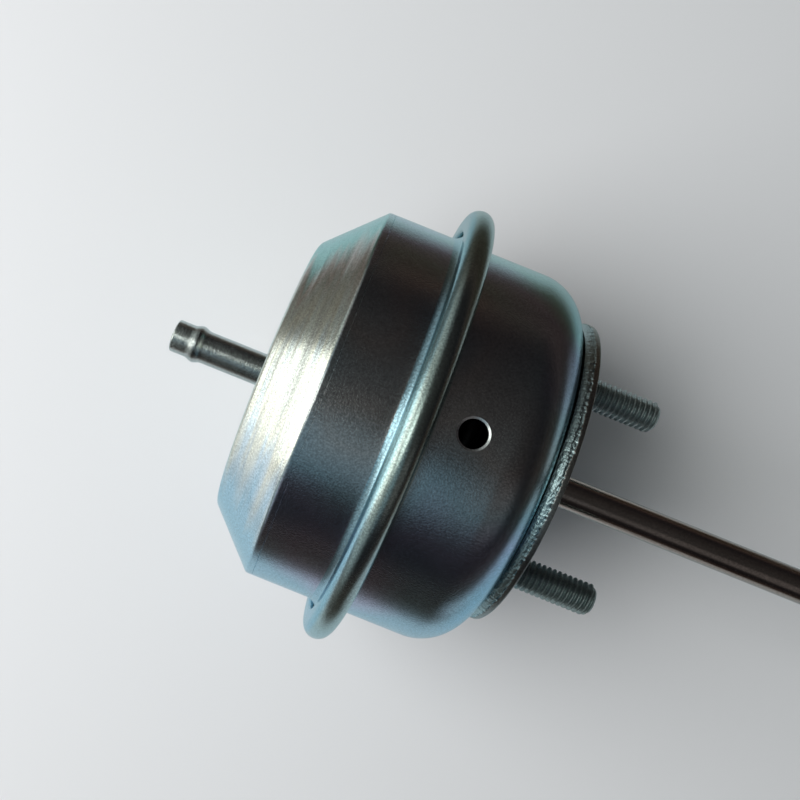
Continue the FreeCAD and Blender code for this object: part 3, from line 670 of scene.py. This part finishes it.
def window_rim():
    """Corners of the window's rim, once round: offsets along X in millimetres and offsets in angle steps."""
    along = np.linspace(-WINDOW_HALF, WINDOW_HALF, WINDOW_COLUMNS + 1)
    steps = np.arange(-WINDOW_STEPS, WINDOW_STEPS + 1)
    side_x, side_turn = len(steps) - 1, len(along) - 1
    x = np.concatenate([along[:-1], np.full(side_x, along[-1]), along[:0:-1], np.full(side_x, along[0])])
    first, last = np.full(side_turn, steps[0]), np.full(side_turn, steps[-1])
    turn = np.concatenate([first, steps[:-1], last, steps[:0:-1]])
    return x, turn


def drum_place(x, side, radius, depth=0.0):
    """A point of the drum near the vent: side is square to the vent's axis, depth goes towards the axis."""
    up = np.sqrt(radius**2 - side**2) - depth
    c, s = math.cos(VENT_TURN), math.sin(VENT_TURN)
    return np.stack([VENT_X + x, AXIS_Y + side * c + up * s, up * c - side * s], axis=-1)


def vent_patch():
    """Rings from the inner skin's window, through the hole's wall and bevelled edge, to the outer one."""
    x, turn = window_rim()
    step = 2 * np.pi / ROUND_STEPS
    way = np.arctan2(turn / WINDOW_STEPS, x / WINDOW_HALF)
    inner = SHELL_RADIUS - CAN_SHEET
    rings = []
    for share in (1.0, 0.7, 0.4, 0.2):
        side = (1 - share) * VENT_RADIUS * np.sin(way) + share * inner * np.sin(turn * step)
        rings.append(drum_place((1 - share) * VENT_RADIUS * np.cos(way) + share * x, side, inner))
    rings.append(drum_place(VENT_RADIUS * np.cos(way), VENT_RADIUS * np.sin(way), inner))
    for share in np.arange(EDGE_RINGS, 0, -1) / EDGE_RINGS:
        radius = VENT_RADIUS + VENT_EDGE * (1 - share)
        depth = VENT_EDGE_DEPTH * share
        rings.append(drum_place(radius * np.cos(way), radius * np.sin(way), SHELL_RADIUS, depth))
    hole = VENT_RADIUS + VENT_EDGE
    for share in (0.0, 0.08, 0.2, 0.35, 0.5, 0.7, 1.0):
        side = (1 - share) * hole * np.sin(way) + share * SHELL_RADIUS * np.sin(turn * step)
        rings.append(drum_place((1 - share) * hole * np.cos(way) + share * x, side, SHELL_RADIUS))
    return np.stack(rings)


vent_rings = vent_patch()
vent_grids = [
    grid(vent_rings[:INNER_RINGS]),
    grid(vent_rings[INNER_RINGS - 1:INNER_RINGS + EDGE_RINGS + 1], finish=2),
    grid(vent_rings[INNER_RINGS + EDGE_RINGS:]),
]
spring_can = piece("can_shell", grid(can_grid, wrap_rows=True, keep=outside_window()), *vent_grids, sharp=18)
# The bevel's near-white tint is partly bare cut metal and partly a painted highlight that brightens its
# glint.
pierced_zinc_painted_glint = zinc_finish("zinc_pierced_edge_painted_glint", roughness=0.30, grain=0.010, tints=[
    (0.3, (0.90, 0.92, 0.92)), (0.7, (0.96, 0.97, 0.95))])
shade_along(shell_zinc, CORNER_BLUE, *(CORNER_X + x for x in CORNER_FADE))
for slot_material in (shell_zinc, roll_zinc_and_side_shade, pierced_zinc_painted_glint):
    spring_can.data.materials.append(slot_material)
set_finish(spring_can, 1, lambda x, r: x < FOOT_X)
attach(spring_can, "housing")
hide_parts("spring_can")

# %% [markdown]
# ## Hose port
# A drawn steel tube with a swaged bead that keeps the hose on. It is bright steel and not plated, darker than
# the shells, with faint rings where it was rolled.

# %% Hose port
PORT_BORE = 2.0
PORT_CUT = 0.35
BEAD_HALF = 1.6
BEAD_HEIGHT = 0.45
BEAD_FROM_TIP = 4.5
COLLAR_RADIUS = 5.0
TIP_BREAK = 0.15


def bead(middle, half, height, base, steps=20):
    """A smooth swelling on a tube: r = base + height * (1 + cos(pi u)) / 2, for u from -1 to 1."""
    u = np.linspace(-1, 1, steps + 1)
    return np.stack([middle + half * u, base + height * (1 + np.cos(np.pi * u)) / 2], axis=1)


def port_profile():
    """Closed profile of the tube: rounded tip, bead, shank, inner collar, and back along the bore."""
    tip = port_low[0]
    inside = CAP_END + CAP_SHEET
    return profile(
        [(tip, PORT_BORE + TIP_BREAK)],
        arc((tip + PORT_CUT, PORT_RADIUS - PORT_CUT), PORT_CUT, 180, 90, 6),
        bead(tip + BEAD_FROM_TIP, BEAD_HALF, BEAD_HEIGHT, PORT_RADIUS),
        run((tip + BEAD_FROM_TIP + BEAD_HALF, PORT_RADIUS), (inside, PORT_RADIUS), 6),
        [(inside, COLLAR_RADIUS), (port_high[0], COLLAR_RADIUS), (port_high[0], PORT_BORE)],
        run((port_high[0], PORT_BORE), (tip + TIP_BREAK, PORT_BORE), 8),
    )


hose_port = piece("port_tube", grid(spun(port_profile(), full_turn(96)), wrap_rows=True))
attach(hose_port, "housing")
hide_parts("hose_port")


def steel_finish(name, colour, roughness, grain, layers=()):
    """Bare steel: one colour with slow light and dark patches, fine grain and marks round the axis."""
    darker = tuple(c * 0.8 for c in colour)
    return zinc_finish(name, roughness, grain, layers, [(0.3, darker), (0.7, colour)])


port_steel = steel_finish("drawn_steel", (0.64, 0.68, 0.66), 0.22, 0.006, layers=(
    (0.05, 6.0, 3.0), (0.012, 0.8, 40.0)))
hose_port.data.materials.append(port_steel)

# %% [markdown]
# ## Mounting plate
# The plate is sheared from thick sheet. A sheared edge has zones: the tool bends the first edge over,
# burnishes a smooth band, and then the sheet tears and leaves a rough, slightly tapered band. The line
# between the bands wanders, so the grid follows that line and each band gets its own finish.

# %% Mounting plate
PLATE_RADIUS = (plate_high[1] - plate_low[1]) / 2
PLATE_BACK = plate_low[0]
PLATE_FACE = plate_high[0]
EDGE_ROLL = 0.3
BAND_X = -0.95
TEAR_TAPER = 0.72
TEAR_ROWS = 14
TEAR_SIZE = 0.055
TEAR_POWER = 1.4
TEAR_INSET = 0.04
TEAR_STEP = 0.10
LINE_WAVES = (0.20, (3, 7, 12, 19, 31), 5)
LINE_TEETH = (0.22, (97, 131, 173, 211, 257, 307), 6)
ROD_HOLE = 7.2
PLATE_STEPS = 1152


def tear_roughness(rows, columns, size, seed):
    """Seeded noise for the torn band, smoothed once along both directions of the grid."""
    rough = np.random.default_rng(seed).normal(0, size, (rows, columns))
    rough = (rough + np.roll(rough, 1, axis=1) + np.roll(rough, -1, axis=1)) / 2
    return (rough + np.roll(rough, 1, axis=0)) / 2


def plate_edge():
    """Torn band from the back to the wandering line, then the burnished band and the rolled-over edge."""
    angles = full_turn(PLATE_STEPS)
    line = BAND_X + waves(angles, *LINE_WAVES) + waves(angles, *LINE_TEETH)
    share = np.linspace(0, 1, TEAR_ROWS)[:, None]
    x = PLATE_BACK + (line - PLATE_BACK) * share
    rough = tear_roughness(TEAR_ROWS, PLATE_STEPS, TEAR_SIZE, 7) * (0.25 + 0.75 * share**2)
    rough[[0, -1]] = 0.0
    step_in = TEAR_STEP * np.clip((share - 0.45) / 0.4, 0, 1)
    r = PLATE_RADIUS - TEAR_INSET - TEAR_TAPER * (1 - share) ** TEAR_POWER - step_in * (share < 1) + rough
    torn = np.stack([x, r * np.sin(angles), r * np.cos(angles)], axis=-1)
    share = np.linspace(0, 1, 5)[:, None]
    x = line + (PLATE_FACE - EDGE_ROLL - line) * share
    r = PLATE_RADIUS + 0 * x
    band = np.stack([x, r * np.sin(angles), r * np.cos(angles)], axis=-1)
    band[0] = torn[-1]
    lip = arc((PLATE_FACE - EDGE_ROLL, PLATE_RADIUS - EDGE_ROLL), EDGE_ROLL, 90, 0, 8)
    return torn, np.concatenate([band, spun(lip[1:], angles, 0.0)])


def plate_face(x, outer, flip):
    """Flat ring between the rod's hole and the rim: P = (1 - v) * hole + v * rim for each angle."""
    angles = full_turn(PLATE_STEPS)
    hole = np.stack([x + 0 * angles, AXIS_Y + ROD_HOLE * np.sin(angles), ROD_HOLE * np.cos(angles)], axis=-1)
    share = np.linspace(1, 0, 6)[:, None, None]
    points = share * outer + (1 - share) * hole
    return points[::-1] if flip else points


torn_band, smooth_band = plate_edge()
front = plate_face(PLATE_FACE, smooth_band[-1], False)
back = plate_face(PLATE_BACK, torn_band[0], True)
hole_wall = np.stack([front[-1], back[0]])
mounting_plate = piece(
    "stud_plate", grid(torn_band, finish=1), grid(smooth_band),
    grid(front, finish=2), grid(hole_wall), grid(back))
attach(mounting_plate, "housing")
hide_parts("mounting_plate")

# The burnished band's dark tint is partly bare sheared steel and partly painted shade for the shadowed floor
# the rim faces.
sheared_band_zinc_and_shade = zinc_finish("zinc_sheared_band_painted_shade", roughness=0.34, grain=0.014, tints=[
    (0.2, (0.34, 0.36, 0.36)), (0.8, (0.42, 0.40, 0.36))])
torn_zinc = zinc_finish("zinc_torn_edge", roughness=0.28, grain=0.05, layers=((0.06, 0.8, 90.0),), tints=[
    (0.2, (0.44, 0.60, 0.64)), (0.8, (0.50, 0.60, 0.60))])
face_zinc = zinc_finish("zinc_plate_face", roughness=0.30, grain=0.014)
for slot_material in (sheared_band_zinc_and_shade, torn_zinc, face_zinc):
    mounting_plate.data.materials.append(slot_material)

# %% [markdown]
# ## Threads
# A rolled M6 thread is a helix, so its grid follows the helix too: a row of points climbs one pitch in one
# turn, and each row keeps its own height in the thread's outline. Crests and roots then stay crisp with few
# points. Points past either end are held at the end plane, where the weld closes them up.

# %% Threads
PITCH = 1.0
THREAD_DEPTH = 0.56
ROWS_PER_PITCH = 10
THREAD_COLUMNS = 64
ROOT_FLAT = 0.14
FLANK = 0.68


def thread_height(share):
    """Height in the thread, 0 at the root and 1 at the crest, over one pitch; flanks are straight."""
    from_root = 1 - np.abs(2 * (share % 1.0) - 1)
    return np.clip((from_root - ROOT_FLAT) / FLANK, 0, 1)


def threaded(start, end, radius, tip_cut, run_out, axis_y, axis_z):
    """Helical grid x = pitch * (k / rows + a / turn), r = radius less the thread's depth, coned at its tip.

    run_out gives the plain length at the start and the length over which the thread comes in.
    """
    first = int(math.floor(start / PITCH * ROWS_PER_PITCH)) - ROWS_PER_PITCH
    last = int(math.ceil(end / PITCH * ROWS_PER_PITCH))
    k = np.arange(first, last + 1)[:, None]
    angles = np.linspace(0, 2 * np.pi, THREAD_COLUMNS + 1)[None, :]
    x = PITCH * (k / ROWS_PER_PITCH + angles / (2 * np.pi))
    held = np.clip(x, start, end)
    crest = radius - THREAD_DEPTH * (1 - thread_height(k / ROWS_PER_PITCH + 0 * angles))
    plain = np.clip((held - start - run_out[0]) / run_out[1], 0, 1)
    r = radius + (crest - radius) * plain
    r = np.minimum(r, radius - tip_cut + (end - held))
    points = np.stack([held, axis_y + r * np.sin(angles), axis_z + r * np.cos(angles)], axis=-1)
    tip = np.stack([end + 0 * angles[0], axis_y + 0 * angles[0], axis_z + 0 * angles[0]], axis=-1)
    return np.concatenate([points, tip[None]])


STUD_RADIUS = 2.97
STUD_CUT = 0.85
HEAD_RADIUS = 4.5
HEAD_HEIGHT = 1.2
NECK_RADIUS = 3.25


def make_stud(node):
    """A threaded stud that stands on its CAD node's axis, with the flat head that is sunk in the plate."""
    low, high = span(node)
    middle_y, middle_z = (low[1] + high[1]) / 2, (low[2] + high[2]) / 2
    neck = low[0] + HEAD_HEIGHT
    shank = threaded(PLATE_FACE, high[0], STUD_RADIUS, STUD_CUT, (0.1, 0.7), middle_y, middle_z)
    head = profile([
        (low[0], 0.0), (low[0], HEAD_RADIUS), (neck, HEAD_RADIUS),
        (neck, NECK_RADIUS), (PLATE_FACE, NECK_RADIUS), (PLATE_FACE, STUD_RADIUS)])
    head_grid = spun(head, np.linspace(0, 2 * np.pi, THREAD_COLUMNS + 1), middle_y, middle_z)
    grids = [grid(points, wrap_columns=False) for points in (head_grid, shank)]
    made = piece(node + "_thread", *grids, sharp=50)
    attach(made, "housing")
    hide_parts(node)
    return made


stud_zinc = zinc_finish("zinc_stud", roughness=0.42, grain=0.02, tints=[
    (0.3, (0.38, 0.45, 0.44)), (0.7, (0.50, 0.57, 0.56))])
studs = [make_stud(node) for node in ("stud_upper", "stud_lower")]
for stud in studs:
    stud.data.materials.append(stud_zinc)

# %% [markdown]
# ## Rod
# Ground and polished bar. Its surface is almost a mirror, so its long lines of light and dark are the room's.
# The far end is threaded for the eye and its lock nut.

# %% Rod
ROD_RADIUS = 3.0
TENON_RADIUS = 2.5
RIVET_RADIUS = 4.0
RIVET_HEIGHT = 1.2
SHOULDER_X = span("rod_washer")[1][0]
ROD_THREAD_START = 63.0
ROD_CUT = 0.8


def rod_profile():
    """Riveted head, tenon, shoulder and ground shank as far as the thread."""
    start = rod_low[0]
    return profile(
        [(start, 0.0)],
        arc((start + RIVET_HEIGHT, RIVET_RADIUS - RIVET_HEIGHT), RIVET_HEIGHT, 180, 90, 8),
        [(start + RIVET_HEIGHT, TENON_RADIUS), (SHOULDER_X, TENON_RADIUS), (SHOULDER_X, ROD_RADIUS)],
        run((SHOULDER_X, ROD_RADIUS), (ROD_THREAD_START, ROD_RADIUS), 24),
    )


rod_turn = np.linspace(0, 2 * np.pi, THREAD_COLUMNS + 1)
rod_thread = threaded(ROD_THREAD_START, rod_high[0], ROD_RADIUS, ROD_CUT, (0.0, 1.2), AXIS_Y, 0.0)
actuator_rod = piece(
    "push_rod", grid(spun(rod_profile(), rod_turn), wrap_columns=False),
    grid(rod_thread, wrap_columns=False), sharp=50)
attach(actuator_rod, "rod")
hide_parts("actuator_rod")
rod_steel = steel_finish("polished_steel", (0.58, 0.50, 0.45), 0.17, 0.003, ((0.0015, 4.0, 1.0),))
actuator_rod.data.materials.append(rod_steel)

# %% [markdown]
# ## Return spring and diaphragm
# Both are inside. The spring is a tube along a coil with closed, ground ends, which flattens towards its
# seat. The diaphragm keeps its bead in the crimp and its crown at the clamp plate.

# %% Return spring
WIRE_RADIUS = 1.9
SPRING_TURNS = 6.0
CLOSED_PITCH = 1.04
CLOSED_TURNS = 0.6
OPENING_TURNS = 0.7
GROUND = 0.2
COIL_STEPS = 40
WIRE_STEPS = 20
SPRING_RADIUS = 21.2
CUP_INNER_X = span("rod_washer")[0][0]
SEAT_SHEET = 1.0
SEAT_X = CAN_END - CAN_SHEET - SEAT_SHEET


def coil_line():
    """Centre line (x, a) of the coil: x grows by the closed pitch at the ends and an open pitch between."""
    turn = np.linspace(0, SPRING_TURNS, int(SPRING_TURNS * COIL_STEPS) + 1)
    wire = 2 * WIRE_RADIUS
    middle = (turn[1:] + turn[:-1]) / 2
    from_end = np.minimum(middle, SPRING_TURNS - middle)
    share = np.clip((from_end - CLOSED_TURNS) / OPENING_TURNS, 0, 1)
    openness = share**2 * (3 - 2 * share)
    length = SEAT_X - CUP_INNER_X + 2 * GROUND * wire
    extra = (length - SPRING_TURNS * CLOSED_PITCH * wire) / (openness.sum() / COIL_STEPS)
    climb = (CLOSED_PITCH * wire + extra * openness) / COIL_STEPS
    return CUP_INNER_X - GROUND * wire + np.concatenate([[0], np.cumsum(climb)]), 2 * np.pi * turn


def spring_grid():
    """Tube along the coil: a circle of the wire's radius at each point, held between the two ground faces."""
    x, a = coil_line()
    t = full_turn(WIRE_STEPS)[None, :]
    r = SPRING_RADIUS + WIRE_RADIUS * np.cos(t)
    place_x = np.clip(x[:, None] - WIRE_RADIUS * np.sin(t), CUP_INNER_X, SEAT_X)
    tube = np.stack([place_x, AXIS_Y + r * np.sin(a)[:, None], r * np.cos(a)[:, None]], axis=-1)
    caps = tube[[0, -1]].mean(axis=1, keepdims=True) + 0 * tube[[0, -1]]
    return np.concatenate([caps[:1], tube, caps[1:]])


spring = piece("return_spring", grid(spring_grid()))
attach(spring, "housing")
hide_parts("compression_spring")
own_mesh(spring)
spring.data.materials.append(steel_finish("spring_wire", (0.10, 0.10, 0.105), 0.45, 0.006))

# %% Diaphragm
RUBBER = 0.8
GAP = 0.3
CUP_RADIUS = 28.4
CUP_CORNER = 3.0
CROWN_X = span("clamp_plate")[1][0]
LOOP_FROM_FOOT = 0.75
LOOP_X = FOOT_X + LOOP_FROM_FOOT
DISC_HOLE = 2.52


def diaphragm_profile():
    """Closed profile: crown, corner, inner leg, loop, outer leg and the bead in the crimp, then back."""
    inner, outer = CUP_RADIUS + GAP, SHELL_RADIUS - CAN_SHEET - GAP
    middle, loop = (inner + outer) / 2, (outer - inner) / 2
    corner = CUP_CORNER + GAP
    over = ROOT_FILLET + CAN_SHEET + GAP
    neck = SHELL_RADIUS + ROOT_FILLET
    bead_x = (cap_high[0], ROLL_X + ROLL_HALF_WIDTH - CAN_SHEET)
    bead_r = (SHELL_RADIUS + CAP_FLARE, ROLL_CENTRE - GAP)
    corner_centre = (CROWN_X + RUBBER + corner, inner - corner)
    return profile(
        [(CROWN_X, DISC_HOLE)],
        arc(corner_centre, corner + RUBBER, 180, 90, 10),
        arc((LOOP_X, middle), loop - RUBBER, -90, 90, 12),
        arc((FOOT_X, neck), over + RUBBER, 270, 180, 10),
        [(FOOT_X - over - RUBBER, bead_r[0]), (bead_x[0], bead_r[0]), (bead_x[0], bead_r[1])],
        [(bead_x[1], bead_r[1]), (bead_x[1], bead_r[0]), (FOOT_X - over, bead_r[0])],
        arc((FOOT_X, neck), over, 180, 270, 10),
        arc((LOOP_X, middle), loop, 90, -90, 16),
        arc(corner_centre, corner, 90, 180, 10),
        [(CROWN_X + RUBBER, DISC_HOLE)],
    )


diaphragm = piece("rubber_diaphragm", grid(spun(diaphragm_profile(), full_turn(144)), wrap_rows=True))
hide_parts("diaphragm")
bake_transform(diaphragm)


def rubber_finish():
    """Matt black rubber with the weave of its fabric showing as a fine bump."""
    material, tree, shader = new_material("woven_rubber")
    place = add(tree, "TexCoord").outputs["Object"]
    tone = add(tree, "TexNoise", {"Vector": place, "Scale": 120.0, "Detail": 3.0})
    tree.links.new(ramp(tree, tone.outputs["Fac"], [(0.3, 0.018), (0.7, 0.035)]), shader.inputs["Base Color"])
    shader.inputs["Roughness"].default_value = 0.7
    weave = add(tree, "TexNoise", {"Vector": place, "Scale": 2500.0, "Detail": 1.0})
    bump = add(tree, "Bump", {"Height": weave.outputs["Fac"], "Distance": 0.02 * MM})
    tree.links.new(bump.outputs["Normal"], shader.inputs["Normal"])
    return material


diaphragm.data.materials.append(rubber_finish())

# %% [markdown]
# ## Pieces whose CAD shape is right
# The pressed cup, its washers, the rod's guide and the eye with its nut stay as CAD made them. Each gets the
# finish of its metal: plain pressed steel, sintered bronze, zinc plated turned steel.

# %% Finishes of the CAD nodes
CAD_FINISHES = {
    "bare_pressed_steel": ((0.50, 0.50, 0.49), 0.32, 0.004,
                           ["clamp_plate", "rod_washer", "spring_seat", "bush_carrier", "wiper_retainer"]),
    # The piston cup is near black partly for its phosphate coat and partly as painted shade, so the view in
    # through the vent stays dark.
    "phosphate_and_painted_shade": ((0.07, 0.07, 0.075), 0.55, 0.008, ["piston_cup"]),
    "sintered_bronze": ((0.52, 0.33, 0.16), 0.42, 0.010, ["guide_bush"]),
    "zinc_turned_fitting": ((0.55, 0.58, 0.60), 0.26, 0.004, ["jam_nut", "rod_end"]),
    "graphite_ring": ((0.06, 0.06, 0.06), 0.5, 0.008, ["rod_wiper"]),
}

FITTING_MARKS = ((0.003, 3.0, 1.5),)

for finish_name, (colour, roughness, grain, members) in CAD_FINISHES.items():
    finish = steel_finish(finish_name, colour, roughness, grain, FITTING_MARKS)
    for member in members:
        nodes[member].data.materials.clear()
        nodes[member].data.materials.append(finish)
print("CAD nodes kept:", sorted(n for f in CAD_FINISHES.values() for n in f[3]))

# %% View settings
bpy.context.scene.view_settings.view_transform = "Standard"
